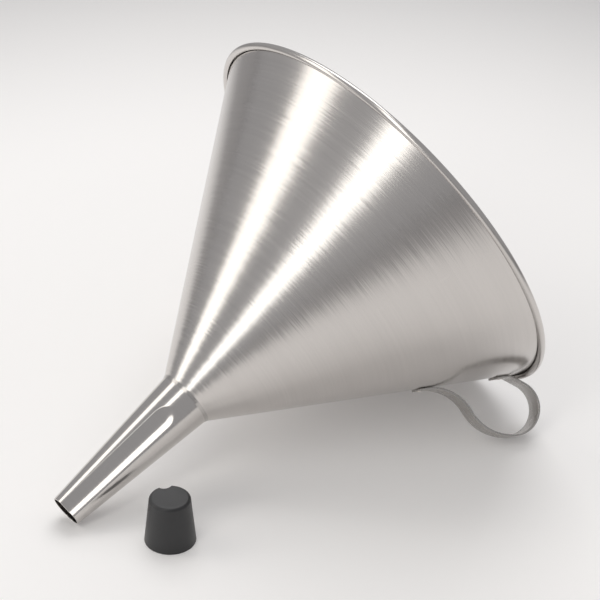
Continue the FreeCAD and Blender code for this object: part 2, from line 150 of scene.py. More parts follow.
def surface(name, points, rows_close=True, crease=30.0):
    """A smooth-shaded mesh object over a grid of points, creased where it turns by more than an angle."""
    rows, columns = points.shape[:2]
    flat = points.reshape(-1, 3)
    quads = grid_quads(rows, columns, rows_close)
    uv = grid_uv(rows, columns, rows_close)
    if signed_volume(flat - flat.mean(0), quads) < 0:
        quads = quads[:, ::-1]
        uv = uv.reshape(-1, 4, 2)[:, ::-1].reshape(-1, 2)
    mesh = bpy.data.meshes.new(name)
    mesh.from_pydata(flat.tolist(), [], quads.tolist())
    layer = mesh.uv_layers.new(name="grid")
    layer.data.foreach_set("uv", uv.ravel().astype(np.float32))
    work = bmesh.new()
    work.from_mesh(mesh)
    bmesh.ops.remove_doubles(work, verts=work.verts, dist=1e-7)
    work.to_mesh(mesh)
    work.free()
    mesh.polygons.foreach_set("use_smooth", np.ones(len(mesh.polygons), dtype=bool))
    mesh.set_sharp_from_angle(angle=np.radians(crease))
    mesh.update()
    piece = bpy.data.objects.new(name, mesh)
    bpy.context.scene.collection.objects.link(piece)
    return piece


def place(piece, body, node, slot):
    """Lets a finished piece stand for a CAD node and ride on its body. The slot is not used."""
    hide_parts(node)
    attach(piece, body)
    low = np.min([v.co for v in piece.data.vertices], axis=0)
    high = np.max([v.co for v in piece.data.vertices], axis=0)
    off = max(np.abs(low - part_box(node)[0]).max(), np.abs(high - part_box(node)[1]).max())
    print(f"{piece.name}: {len(piece.data.polygons)} faces, box within {off / MM:.2f} mm of {node}")

# %% [markdown]
# ## Bowl
#
# The bowl is one sheet of steel spun on a lathe into a straight cone, with its edge rolled outwards into a
# hollow bead that hides the cut edge and stiffens the rim. A cone and a torus put together would look
# right from far away, but the real bead is open underneath: the sheet's end stops short of the cone and
# leaves a dark line there. So the whole section is drawn as one closed outline, up the inside, round the
# curl, and back down the outside, and carried once round the axis.

# %% Bowl section
BOWL_COLUMNS = 384
CURL_END = np.radians(40.0) - np.pi

run = bead_out - NECK_RADIUS
slant = np.arctan2(run, CONE_LENGTH) - np.arcsin((BEAD_RADIUS - SHEET) / np.hypot(run, CONE_LENGTH))
bead_centre = np.array([bead_out, bead_up])
neck_outside = np.array([NECK_RADIUS, SPOUT_LENGTH])
neck_inside = neck_outside - [SHEET / np.cos(slant), 0.0]


def arc_points(centre, radius, start, end, count):
    """Points on a circle: centre plus radius times cosine and sine of evenly spaced angles."""
    angle = np.linspace(start, end, count)
    return centre + radius * np.stack([np.cos(angle), np.sin(angle)], axis=-1)


def line_points(start, end, count):
    """Evenly spaced points on a straight line, without its two ends."""
    share = np.linspace(0, 1, count + 2)[1:-1, None]
    return (1 - share) * start + share * end


def bowl_outline():
    """Radius and height of the sheet's outline: inside wall, outer curl, cut edge, inner curl, outside."""
    leaves = np.pi - slant
    outer = arc_points(bead_centre, BEAD_RADIUS, leaves, CURL_END, 44)
    inner = arc_points(bead_centre, BEAD_RADIUS - SHEET, CURL_END, leaves, 30)
    return np.concatenate(
        [
            [neck_inside],
            line_points(neck_inside, outer[0], 60),
            outer,
            line_points(outer[-1], inner[0], 2),
            inner,
            line_points(inner[-1], neck_outside, 60),
            [neck_outside],
        ]
    )

# %% Turn the bowl
outline = bowl_outline()
turn = np.linspace(0, 2 * np.pi, BOWL_COLUMNS, endpoint=False)[None, :]
bowl = surface("bowl_sheet", lay(around(outline[:, :1], outline[:, 1:], turn)))
place(bowl, "funnel", "bowl", "bowl_steel")

# %% [markdown]
# ## Spout
#
# The spout is a tapered tube. A rounded bar has been pressed into one side of it from the tip almost to
# the neck, so air can leave the bottle while liquid runs in. Cutting a cylinder out of a cone would leave
# knife edges, and pressed metal never has those. Here the wall's radius is a formula instead: at each
# angle and height it is the smaller of the plain cone's radius and the radius at which the bar's surface
# is met, and a smooth minimum rounds the two shoulders between them.

# %% Spout wall
CHANNEL_DEPTH = 1.9
CHANNEL_TURN = np.radians(-97.0)
PRESS_RADIUS = 8.5  # fatter than the cap's rib, so the channel is wide and shallow
PRESS_LENGTH = 56.0
SHOULDER = 1.4
BESIDE_CLIMB = 4.0  # how steeply the bar's formula leaves the wall beside the bar

spout_slope = (NECK_RADIUS - TIP_RADIUS) / SPOUT_LENGTH


def smooth_min(a, b, blend):
    """The smaller of two values, eased where they are within blend of each other.

    It is their minimum less a quarter of the blend times the squared share by which they overlap it.
    """
    share = np.clip(blend - np.abs(a - b), 0, None) / blend
    return np.minimum(a, b) - 0.25 * blend * share**2


def dented(plain, angle, height, bar_radius, bar_out, bar_end, blend):
    """Radius of a round wall pressed in by a round-ended bar that lies along it at angle 0.

    On a ray at an angle, the bar's near side is at c cos(angle) - sqrt(r^2 - c^2 sin^2(angle)), where c
    is the bar's distance from the axis and r its radius, which shrinks to nothing past the bar's end.
    """
    past = np.clip(height - bar_end, 0, bar_radius)
    reach = np.sqrt(bar_radius**2 - past**2)
    across = bar_out * np.sin(angle)
    half_chord = np.sqrt(np.clip(reach**2 - across**2, 0, None))
    beside = np.clip(np.abs(across) - reach, 0, None)
    near_side = bar_out * np.cos(angle) - half_chord + BESIDE_CLIMB * beside
    bar = np.where(np.cos(angle) > 0, near_side, plain + bar_radius)
    return smooth_min(plain, bar, blend)


def spout_wall(inset, angle, height):
    """Radius of the spout's outside, or of its bore when inset is the sheet's thickness."""
    plain = TIP_RADIUS - inset + spout_slope * height
    bar_out = TIP_RADIUS + spout_slope * height + PRESS_RADIUS - CHANNEL_DEPTH
    return dented(plain, angle, height, PRESS_RADIUS + inset, bar_out, PRESS_LENGTH, SHOULDER)

# %% Draw the spout
SPOUT_COLUMNS = 360
TIP_EDGE = 0.15  # mm, how far the cut end of the sheet is rounded

gather = np.linspace(-1, 1, SPOUT_COLUMNS, endpoint=False)[None, :]
wrap = np.pi * (0.35 * gather + 0.65 * gather**3)
edge_rise = TIP_EDGE * np.sin(np.linspace(0, np.pi / 2, 7))
rise = np.concatenate(
    [
        edge_rise[:-1],
        np.linspace(TIP_EDGE, PRESS_LENGTH - 3, 36),
        np.linspace(PRESS_LENGTH - 2.5, PRESS_LENGTH + 8.5, 34),
        np.linspace(PRESS_LENGTH + 9, SPOUT_LENGTH, 8),
    ]
)[:, None]
below_edge = TIP_EDGE - np.clip(rise, 0, TIP_EDGE)
rounded_off = TIP_EDGE - np.sqrt(np.clip(TIP_EDGE**2 - below_edge**2, 0, None))
outside = around(spout_wall(0.0, wrap, rise) - rounded_off, rise, wrap + CHANNEL_TURN)
bore = around(spout_wall(SHEET, wrap, rise) + rounded_off, rise, wrap + CHANNEL_TURN)
spout = surface("spout_tube", lay(np.concatenate([outside, bore[::-1]])))
place(spout, "funnel", "spout", "spout_steel")

# %% [markdown]
# ## Weld at the neck
#
# Bowl and spout are made apart and welded together, and the weld is ground down until only a thin ring
# shows. A plain torus would stand too proud. This ring fills the shallow corner between the two slopes,
# with a face that swells and sinks by a few hundredths of a millimetre as a hand-dressed weld does.

# %% Neck weld
WELD_LEG = 0.9
WELD_SWELL = 0.02

lean = np.arctan(spout_slope)
weld_foot = neck_outside - WELD_LEG * np.array([np.sin(lean), np.cos(lean)])
weld_top = neck_outside + WELD_LEG * np.array([np.sin(slant), np.cos(slant)])
face_across = np.linspace(0, 1, 7)[:, None]
face = weld_foot + face_across * (weld_top - weld_foot)
weld_turn = np.linspace(0, 2 * np.pi, 240, endpoint=False)[None, :]
swell = WELD_SWELL * np.sin(37 * weld_turn + 2 * np.sin(5 * weld_turn)) * np.sin(np.pi * face_across)
dressed = face[:, :1] - WELD_SWELL * np.sin(np.pi * face_across) + swell
weld_radius = np.concatenate([dressed, NECK_RADIUS + 0 * weld_turn])
weld_height = np.concatenate([face[:, 1:], [[SPOUT_LENGTH]]])
neck_weld = surface("neck_weld_ring", lay(around(weld_radius, weld_height, weld_turn)))
place(neck_weld, "funnel", "neck_weld", "weld_steel")

# %% [markdown]
# ## Finger loop
#
# The handle is one flat strap. It lies on the cone for a few millimetres, swings away from it, rolls over
# into a loop big enough for a finger, and comes back under the rim to lie on the cone again. A curve with
# a bevel could make it, but a bevelled curve twists its section where the bend changes sides. The line
# down its middle is a chain of arcs and straights that touch smoothly, so its direction is known at every
# point, and the flat section can be carried along it without any twist.

# %% Strap centreline
STRAP_WIDTH = 12.0
STRAP_THICKNESS = 1.0
STRAP_EDGE = 0.3
STRAP_END_ROUND = 0.25
LOWER_END = 99.2
UPPER_END = 137.0
UPPER_FOOT = 5.2
BEND_RADIUS = 4.0
LOOP_RADIUS = 12.4
LOOP_CENTRE = np.array([15.1, 142.6])
BACK_RADIUS = 22.3
BACK_SLOPE = np.radians(68.0)

half_strap = STRAP_THICKNESS / 2


def strap_centreline():
    """The strap's middle line as (height off the cone, place along its slope), from lower to upper end."""
    bend_centre = np.array([half_strap + BEND_RADIUS, UPPER_END + UPPER_FOOT])
    back_centre = LOOP_CENTRE - [BACK_RADIUS - LOOP_RADIUS, 0]
    rise_height = back_centre[0] + BACK_RADIUS * np.cos(BACK_SLOPE) - half_strap
    landing_radius = rise_height / (1 - np.cos(BACK_SLOPE))
    reach = (BACK_RADIUS + landing_radius) * np.sin(BACK_SLOPE)
    landing_centre = np.array([half_strap + landing_radius, back_centre[1] - reach])
    apart = LOOP_CENTRE - bend_centre
    lift = np.arctan2(apart[1], apart[0])
    lift += np.arccos((BEND_RADIUS - LOOP_RADIUS) / np.hypot(*apart))
    landing = arc_points(landing_centre, landing_radius, np.pi, np.pi - BACK_SLOPE, 40)
    back = arc_points(back_centre, BACK_RADIUS, -BACK_SLOPE, 0, 44)
    loop = arc_points(LOOP_CENTRE, LOOP_RADIUS, 0, lift, 64)
    bend = arc_points(bend_centre, BEND_RADIUS, lift, np.pi, 12)
    lower_end = np.array([half_strap, LOWER_END])
    upper_end = np.array([half_strap, UPPER_END])
    parts = [
        [lower_end],
        line_points(lower_end, landing[0], 8),
        landing,
        back[1:],
        loop[1:],
        line_points(loop[-1], bend[0], 6),
        bend,
        line_points(bend[-1], upper_end, 6),
        [upper_end],
    ]
    return np.concatenate(parts)


strap_line = strap_centreline()
strap_length = np.linalg.norm(np.diff(strap_line, axis=0), axis=1).sum()
print(f"strap cut to {strap_length:.1f} mm, standing {strap_line[:, 0].max():.1f} mm off the cone")

# %% [markdown]
# ### The strap's section
#
# The edges of a cut and tumbled strap are a little rounded, and those narrow rounds catch the light. The
# section is a rectangle with quarter circles at its corners. At each end it shrinks inwards over the last
# rows, which rounds the cut end and closes it.

# %% Carry the section along the strap


def strap_section():
    """Places round the strap's section, as (off the middle surface, across the strap)."""
    corner_off = half_strap - STRAP_EDGE
    corner_across = STRAP_WIDTH / 2 - STRAP_EDGE
    signs = [(1, 1), (-1, 1), (-1, -1), (1, -1)]
    corners = [
        arc_points(
            np.array([a * corner_off, b * corner_across]),
            STRAP_EDGE,
            quarter * np.pi / 2,
            (quarter + 1) * np.pi / 2,
            5,
        )
        for quarter, (a, b) in enumerate(signs)
    ]
    sides = [line_points(corners[i][-1], corners[(i + 1) % 4][0], 10 if i % 2 == 0 else 1) for i in range(4)]
    return np.concatenate([part for pair in zip(corners, sides) for part in pair])


def carried(line, section, end_round):
    """Points of a section carried along a line in the handle's plane.

    Each is the line's point, plus the section's first place times the line's normal, plus its second
    place straight across. The extra rows at each end pull the section in and close it on its middle.
    """
    tangent = np.gradient(line, axis=0)
    tangent /= np.linalg.norm(tangent, axis=1, keepdims=True)
    quarter = np.linspace(0, np.pi / 2, 5)
    pull = end_round * (1 - np.sin(quarter))
    starts = line[0] + tangent[0] * (end_round * (1 - np.cos(quarter)))[:, None]
    stops = line[-1] - tangent[-1] * (end_round * (1 - np.cos(quarter)))[:, None]
    inner = (np.linalg.norm(line - line[0], axis=1) > 1.05 * end_round) & (
        np.linalg.norm(line - line[-1], axis=1) > 1.05 * end_round
    )
    rows = np.concatenate([[line[0]], starts, line[inner], stops[::-1], [line[-1]]])
    along = np.concatenate(
        [
            np.repeat(tangent[:1], len(starts) + 1, axis=0),
            tangent[inner],
            np.repeat(tangent[-1:], len(stops) + 1, axis=0),
        ]
    )
    shut = [STRAP_WIDTH]
    inset = np.concatenate([shut, pull, np.zeros(inner.sum()), pull[::-1], shut])[:, None]
    off = np.sign(section[:, 0]) * np.clip(np.abs(section[:, 0]) - inset, 0, None)
    across = np.sign(section[:, 1]) * np.clip(np.abs(section[:, 1]) - inset, 0, None)
    normal = np.stack([along[:, 1], -along[:, 0]], axis=-1)
    flat = rows[:, None, :] + off[..., None] * normal[:, None, :]
    return flat, across


def on_slope(height, place, across):
    """Upright points from a height off the cone, a place along its slope and a distance across it."""
    x = NECK_RADIUS + place * np.sin(slant) + height * np.cos(slant)
    z = SPOUT_LENGTH + place * np.cos(slant) - height * np.sin(slant)
    return np.stack([x, across + 0 * x, z], axis=-1)


flat, across = carried(strap_line, strap_section(), STRAP_END_ROUND)
strap = surface("finger_strap", lay(on_slope(flat[..., 0], flat[..., 1], across)), rows_close=False)
place(strap, "funnel", "handle_strap", "strap_steel")

# %% [markdown]
# ### Spot welds
#
# Each foot of the strap is held by one spot weld. The electrode leaves a small round mark: a raised rim
# round a shallow dimple. It is a button turned from a profile, whose height is worked out from the share
# of the way from the middle to the edge.

# %% Spot weld marks
SPOT_RADIUS = 1.4
SPOT_HEIGHT = 0.25
SPOT_RIM = 0.86  # share of the radius where the rim starts to fall
SPOT_PLACES = {"lower_spot_weld": 100.9, "upper_spot_weld": 140.4}


def spot_button(middle_place):
    """A button on the strap: its height rises from a dimple to a rim and falls in a quarter round."""
    over_rim = SPOT_RIM + (1 - SPOT_RIM) * np.sin(np.linspace(0.2, np.pi / 2, 7))
    share = np.concatenate([np.linspace(0, SPOT_RIM, 12), over_rim])
    dimple = 0.55 + 0.45 * np.sin(np.pi / 2 * np.clip(share / 0.7, 0, 1)) ** 2
    past_rim = np.clip(share - SPOT_RIM, 0, None) / (1 - SPOT_RIM)
    fall = np.sqrt(np.clip(1 - past_rim**2, 0, None))
    radius = np.concatenate([share, [0.0]])[:, None] * SPOT_RADIUS
    height = np.concatenate([dimple * fall, [0.0]])[:, None] * SPOT_HEIGHT
    angle = np.linspace(0, 2 * np.pi, 48, endpoint=False)[None, :]
    across = radius * np.sin(angle)
    return on_slope(STRAP_THICKNESS + height, middle_place + radius * np.cos(angle), across)


for node, middle_place in SPOT_PLACES.items():
    mark = surface(f"{node}_mark", lay(spot_button(middle_place)), rows_close=False)
    place(mark, "funnel", node, "weld_steel")

# %% [markdown]
# ## Spout cap
#
# The cap is moulded rubber that slips over the spout's end, so its side has the same dent as the spout,
# and a rib inside that fills the air channel. Moulded edges are round all over. The same dent formula that
# shaped the spout shapes the cap, and one outline runs from the middle of its top, over the round edge,
# down the side, round the lip and back up the inside.

# %% Cap outline
CAP_HEIGHT = 22.4
CAP_OPEN = 11.2
CAP_CLOSED = 8.9
CAP_END = 1.4
CAP_CLEARANCE = 0.1
CAP_DENT_RADIUS = 3.4
CAP_DENT_DEPTH = 1.7
CAP_DENT_EASE = 2.2
CAP_RIB_RADIUS = 4.1
CAP_RIB_EASE = 0.6
CAP_EDGE = 1.5
CAP_DOME = 0.12
CAP_LIP = 0.3
CAP_TURN = np.radians(67.0)
CAP_COLUMNS = 300
PAST_CAP = CAP_HEIGHT + 9.0  # dent and rib run past both ends, so neither shows a round end

cap_low, cap_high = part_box("spout_cap")
cap_middle = np.array([(cap_low.x + cap_high.x) / 2, (cap_low.y + cap_high.y) / 2, 0.0]) / MM
cap_slope = (CAP_OPEN - CAP_CLOSED) / CAP_HEIGHT


def cap_outside(angle, height):
    """Radius of the cap's dented outside at a height above the table."""
    plain = CAP_OPEN - cap_slope * height
    bar_out = plain + CAP_DENT_RADIUS - CAP_DENT_DEPTH
    return dented(plain, angle, height, CAP_DENT_RADIUS, bar_out, PAST_CAP, CAP_DENT_EASE)


def cap_inside(angle, height):
    """Radius of the cap's cavity: the spout's end plus the clearance, less a rib that fills the channel."""
    up_spout = CAP_HEIGHT - CAP_END - height
    plain = TIP_RADIUS + CAP_CLEARANCE + spout_slope * up_spout
    bar_out = plain + CAP_RIB_RADIUS - CHANNEL_DEPTH
    return dented(plain, angle, height, CAP_RIB_RADIUS, bar_out, PAST_CAP, CAP_RIB_EASE)

# %% Draw the cap
cap_gather = np.linspace(-1, 1, CAP_COLUMNS, endpoint=False)[None, :]
cap_wrap = np.pi * (0.45 * cap_gather + 0.55 * cap_gather**3)
quarter = np.linspace(0, np.pi / 2, 10)[:, None]

top_share = np.linspace(0, 1, 16)[:, None]
top_height = CAP_HEIGHT - CAP_DOME * (1 - top_share**2)
top_radius = top_share * (cap_outside(cap_wrap, CAP_HEIGHT - CAP_EDGE) - CAP_EDGE)
edge_height = CAP_HEIGHT - CAP_EDGE * (1 - np.cos(quarter))
edge_radius = cap_outside(cap_wrap, CAP_HEIGHT - CAP_EDGE) - CAP_EDGE * (1 - np.sin(quarter))
side_height = np.linspace(CAP_HEIGHT - CAP_EDGE, CAP_LIP, 34)[1:, None]
side_radius = cap_outside(cap_wrap, side_height)
lip_height = CAP_LIP * (1 - np.sin(quarter))
lip_radius = cap_outside(cap_wrap, CAP_LIP) - CAP_LIP * (1 - np.cos(quarter))
inner_height = np.linspace(0, CAP_HEIGHT - CAP_END, 30)[:, None]
inner_radius = cap_inside(cap_wrap, inner_height)
ceiling_share = np.linspace(1, 0, 12)[1:, None]
ceiling_radius = ceiling_share * cap_inside(cap_wrap, CAP_HEIGHT - CAP_END)
ceiling_height = CAP_HEIGHT - CAP_END + 0 * ceiling_share

cap_radii = [top_radius, edge_radius[1:], side_radius, lip_radius[1:], inner_radius, ceiling_radius]
cap_heights = [top_height, edge_height[1:], side_height, lip_height[1:], inner_height, ceiling_height]
cap_points = around(np.concatenate(cap_radii), np.concatenate(cap_heights), cap_wrap + CAP_TURN)
cap = surface("slip_on_cap", (cap_points + cap_middle) * MM, rows_close=False, crease=40.0)
place(cap, "cap", "spout_cap", "cap_rubber")

# %% [markdown]
# ## Mixing materials in code
#
# A material is a net of nodes, and long sums of Math nodes are hard to read. The small class below wraps
# one socket, so that sums on it can be written as sums in Python, and adds the Math nodes behind the
# scenes. A second class holds the material and adds every other kind of node.

# %% Shader sums


class Wire:
    """One output on its way through a material. Adding, multiplying and so on adds Math nodes."""

    def __init__(self, paint, socket):
        self.paint = paint
        self.socket = socket

    def out(self, name):
        """Another output of the same node."""
        return Wire(self.paint, self.socket.node.outputs[name])

    def math(self, operation, *values):
        return self.paint.node("Math", {"operation": operation}, dict(enumerate(values)))

    def __add__(self, other):
        return self.math("ADD", self, other)

    __radd__ = __add__

    def __sub__(self, other):
        return self.math("SUBTRACT", self, other)

    def __rsub__(self, other):
        return self.math("SUBTRACT", other, self)

    def __mul__(self, other):
        return self.math("MULTIPLY", self, other)

    __rmul__ = __mul__

    def clamped(self):
        """The value held between 0 and 1."""
        held = self.math("MULTIPLY", self, 1.0)
        held.socket.node.use_clamp = True
        return held


class Paint:
    """A material being mixed. A node's settings are made first, then its sockets are set or linked."""

    def __init__(self, name):
        self.material = bpy.data.materials.new(name)
        self.material.use_nodes = True
        self.tree = self.material.node_tree
        self.tree.nodes.clear()

    def node(self, kind, settings=None, sockets=None):
        node = self.tree.nodes.new("ShaderNode" + kind)
        settings = dict(settings or {})
        stops = settings.pop("stops", None)
        for key, value in settings.items():
            setattr(node, key, value)
        if stops:
            ramp = node.color_ramp
            while len(ramp.elements) < len(stops):
                ramp.elements.new(0.5)
            for element, (position, shade) in zip(ramp.elements, stops):
                element.position = position
                element.color = (shade, shade, shade, 1)
        for key, value in (sockets or {}).items():
            if isinstance(value, Wire):
                self.tree.links.new(value.socket, node.inputs[key])
            else:
                node.inputs[key].default_value = value
        return Wire(self, node.outputs[0]) if node.outputs else None

    def vector(self, operation, *values, scale=None):
        """A Vector Math node."""
        sockets = dict(enumerate(values))
        if scale is not None:
            sockets["Scale"] = scale
        return self.node("VectorMath", {"operation": operation}, sockets)

    def blend(self, mask, first, second):
        """One colour where the mask is 0 and the other where it is 1."""
        mixed = self.node("Mix", {"data_type": "RGBA"}, {0: mask, 6: first, 7: second})
        return Wire(self, mixed.socket.node.outputs[2])

    def noise(self, where, scale=1.0, detail=2.0, roughness=0.5):
        """Noise between 0 and 1 that averages a half."""
        return self.node(
            "TexNoise", None, {"Vector": where, "Scale": scale, "Detail": detail, "Roughness": roughness}
        )

    def finish(self, shader):
        self.node("OutputMaterial", None, {"Surface": shader})
        return self.material


def wear(piece, material):
    """Gives a piece its one material."""
    piece.data.materials.clear()
    piece.data.materials.append(material)
    print(f"{piece.name} wears {material.name}, {len(material.node_tree.nodes)} nodes")

# %% [markdown]
# ## Spun and brushed steel
#
# The cone is brushed on the lathe, so it carries thousands of hair-fine grooves that run round the axis.
# Across a groove the surface tilts up and down the cone, along it hardly at all. That is why a lamp shows
# as a long band from rim to neck and not as a spot. The shader has an anisotropic setting, but its
# direction can't follow a cone that lies tilted without linking the tangent socket. Instead the grooves
# are made for what they are: noise that is stretched round the axis tilts the surface normal up and down
# the slope.
#
# A Mapping node set to Texture stands the pattern upright on the lying funnel.

# %% Steel
upright = Matrix([Vector(handle_out), Vector(handle_across), Vector(axis)]).transposed()
FUNNEL_TURN = tuple(upright.to_euler("XYZ"))
FUNNEL_PLACE = tuple(tip * MM)


def upright_place(paint):
    """Where a point is in the funnel's upright frame, in metres."""
    place_on_table = paint.node("TexCoord").out("Object")
    return paint.node(
        "Mapping",
        {"vector_type": "TEXTURE"},
        {"Vector": place_on_table, "Location": FUNNEL_PLACE, "Rotation": FUNNEL_TURN},
    )


def stretched(paint, where, round_scale, up_scale):
    """A place scaled so that noise on it comes out as streaks round the axis."""
    return paint.vector("MULTIPLY", where, (round_scale, round_scale, up_scale))


def tilted(paint, direction, amount):
    """The surface normal tilted along a direction: normal plus direction times amount, made unit long."""
    normal = paint.node("NewGeometry").out("Normal")
    pushed = paint.vector("ADD", normal, paint.vector("SCALE", direction, scale=amount))
    return paint.vector("NORMALIZE", pushed)


def up_the_wall(paint):
    """Unit direction up the wall: the axis less its share along the normal."""
    normal = paint.node("NewGeometry").out("Normal")
    share = paint.vector("DOT_PRODUCT", normal, tuple(axis)).out("Value")
    along_normal = paint.vector("SCALE", normal, scale=share)
    return paint.vector("NORMALIZE", paint.vector("SUBTRACT", tuple(axis), along_normal))


def spun_steel(name, tone, roughness, groove_tilt, mark_tilt, dark):
    """Steel brushed round the funnel's axis, with finer and coarser grooves, smears and faint scratches.

    The tone is the brightest metal, and dark is the share of it that is left where the grooves are deepest.
    """
    paint = Paint(name)
    where = upright_place(paint)
    hair = paint.noise(stretched(paint, where, round_scale=30, up_scale=5600), detail=2, roughness=0.6)
    line = paint.noise(stretched(paint, where, round_scale=11, up_scale=1500), detail=2)
    band = paint.noise(stretched(paint, where, round_scale=5, up_scale=160), detail=2)
    smear = paint.noise(where, scale=14, detail=3)
    tilt_up = (hair - 0.5) * groove_tilt + (line - 0.5) * mark_tilt
    normal = tilted(paint, up_the_wall(paint), tilt_up)
    drag = paint.vector("MULTIPLY", where, (420, 60, 130))
    scratch = paint.node(
        "ValToRGB", {"stops": [(0.0, 0), (0.73, 0), (0.78, 1)]}, {"Fac": paint.noise(drag, detail=1)}
    )
    shade = (line * 0.9 + band * 0.4 - 0.15 + (smear - 0.5) * 0.3 + scratch * 0.25).clamped()
    colour = paint.blend(shade, (*[t * dark for t in tone], 1), (*tone, 1))
    shader = paint.node(
        "BsdfPrincipled",
        None,
        {
            "Base Color": colour,
            "Metallic": 1.0,
            "Roughness": roughness + (smear - 0.5) * 0.06 + (line - 0.5) * 0.06,
            "Normal": normal,
        },
    )
    return paint.finish(shader)


SHEET_TONE = (0.66, 0.632, 0.61)
WELD_TONE = (0.58, 0.555, 0.535)
bowl_steel = spun_steel("brushed_bowl_steel", SHEET_TONE, 0.2, groove_tilt=0.3, mark_tilt=0.03, dark=0.9)
spout_steel = spun_steel("polished_spout_steel", SHEET_TONE, 0.17, groove_tilt=0.2, mark_tilt=0.03, dark=0.88)
weld_steel = spun_steel("dressed_weld_steel", WELD_TONE, 0.24, groove_tilt=0.4, mark_tilt=0.15, dark=0.8)
wear(bowl, bowl_steel)
wear(spout, spout_steel)
wear(neck_weld, weld_steel)

# %% [markdown]
# ### Strap and weld marks
#
# The strap was brushed as flat strip before it was bent, so its grooves run along it, round every bend.
# Object coordinates can't follow them, but the piece's own UV map does: u goes round the section and v
# along the strap. The tilt is straight across the strap, which is one direction for the whole handle.

# %% Strap steel


def strap_steel(name, tone, roughness):
    """Strip brushed along its length, darker where the grooves are deep and where fingers have been."""
    paint = Paint(name)
    grid = paint.node("UVMap", {"uv_map": "grid"})
    hair = paint.noise(paint.vector("MULTIPLY", grid, (420, 9, 1)), detail=3, roughness=0.7)
    smear = paint.noise(paint.node("TexCoord").out("Object"), scale=90, detail=3)
    normal = tilted(paint, tuple(handle_across), (hair - 0.5) * 0.9)
    shade = (hair * 0.6 + smear * 0.5 - 0.05).clamped()
    colour = paint.blend(shade, (*[t * 0.72 for t in tone], 1), (*tone, 1))
    shader = paint.node(
        "BsdfPrincipled",
        None,
        {
            "Base Color": colour,
            "Metallic": 1.0,
            "Roughness": roughness + (smear - 0.5) * 0.1,
            "Normal": normal,
        },
    )
    return paint.finish(shader)


def mark_steel(name, tone, roughness):
    """Steel that was melted and pressed: finely grained, with a faint straw tint left by the heat."""
    paint = Paint(name)
    where = paint.node("TexCoord").out("Object")
    grain = paint.noise(where, scale=1800, detail=2)
    heat = paint.noise(where, scale=260, detail=2)
    bump = paint.node("Bump", None, {"Strength": 0.25, "Distance": 0.0002, "Height": grain})
    tint = (heat * 1.6 - 0.4).clamped()
    colour = paint.blend(tint, (*tone, 1), (tone[0], tone[1] * 0.94, tone[2] * 0.84, 1))
    shader = paint.node(
        "BsdfPrincipled",
        None,
        {"Base Color": colour, "Metallic": 1.0, "Roughness": roughness + grain * 0.1, "Normal": bump},
    )
    return paint.finish(shader)


wear(strap, strap_steel("brushed_strap_steel", (0.56, 0.54, 0.52), 0.27))
mark_finish = mark_steel("pressed_mark_steel", (0.78, 0.75, 0.72), 0.2)
for node in SPOT_PLACES:
    wear(bpy.data.objects[f"{node}_mark"], mark_finish)

# %% [markdown]
# ## Cap rubber
#
# Moulded rubber is nearly black and dull, but not even: the mould's blasted wall leaves a fine grain, and
# handling leaves paler, smoother patches with a little dust. Grain goes into a bump, the patches change
# colour and roughness.

# %% Rubber
RUBBER_DARK = (0.018, 0.018, 0.019, 1)
RUBBER_PALE = (0.034, 0.034, 0.036, 1)

paint = Paint("moulded_cap_rubber")
where = paint.node("TexCoord").out("Object")
grain = paint.noise(where, scale=2600, detail=2)
cloud = paint.noise(where, scale=110, detail=4)
dust = paint.node("ValToRGB", {"stops": [(0.0, 0), (0.7, 0), (0.78, 1)]}, {"Fac": paint.noise(where, 1500)})
bump = paint.node("Bump", None, {"Strength": 0.35, "Distance": 0.0001, "Height": grain})
shade = (cloud * 0.7 + dust * 0.25 - 0.05).clamped()
rubber = paint.node(
    "BsdfPrincipled",
    None,
    {
        "Base Color": paint.blend(shade, RUBBER_DARK, RUBBER_PALE),
        "Roughness": 0.42 + (cloud - 0.5) * 0.16 + dust * 0.1,
        "Normal": bump,
    },
)
wear(cap, paint.finish(rubber))
cap.visible_glossy = False  # the spout would mirror it as a black blot

# %% [markdown]
# ## Camera
#
# The camera is a long lens held above the spout's side. It could be aimed with a constraint that tracks an
# empty, but its directions are needed again below, to work out what the steel mirrors, so they are worked
# out first: ahead from yaw and pitch, then right and above turned by the roll.

# %% Camera
CAMERA_YAW = np.radians(48.94)
CAMERA_PITCH = np.radians(32.14)
CAMERA_ROLL = np.radians(-1.5)
LENS = 132.0
CAMERA_FROM_TIP = np.array([-420.2, -632.3, 583.6])

ahead = np.array(
    [
        np.cos(CAMERA_PITCH) * np.cos(CAMERA_YAW),
        np.cos(CAMERA_PITCH) * np.sin(CAMERA_YAW),
        -np.sin(CAMERA_PITCH),
    ]
)
level = np.array([np.sin(CAMERA_YAW), -np.cos(CAMERA_YAW), 0.0])
below = np.cross(ahead, level)
right = np.cos(CAMERA_ROLL) * level + np.sin(CAMERA_ROLL) * below
above = np.cross(right, ahead)
camera_place = (tip + CAMERA_FROM_TIP) * MM

camera = bpy.data.objects.new("studio_camera", bpy.data.cameras.new("studio_camera"))
camera.data.lens = LENS
camera.data.sensor_width = 36.0
camera.data.clip_end = 50.0
camera.matrix_world = Matrix.Translation(camera_place) @ Matrix(
    [Vector(right), Vector(above), Vector(-ahead)]
).transposed().to_4x4()
bpy.context.scene.collection.objects.link(camera)
bpy.context.scene.camera = camera
print("camera at", camera_place.round(3), "m, lens", LENS, "mm")
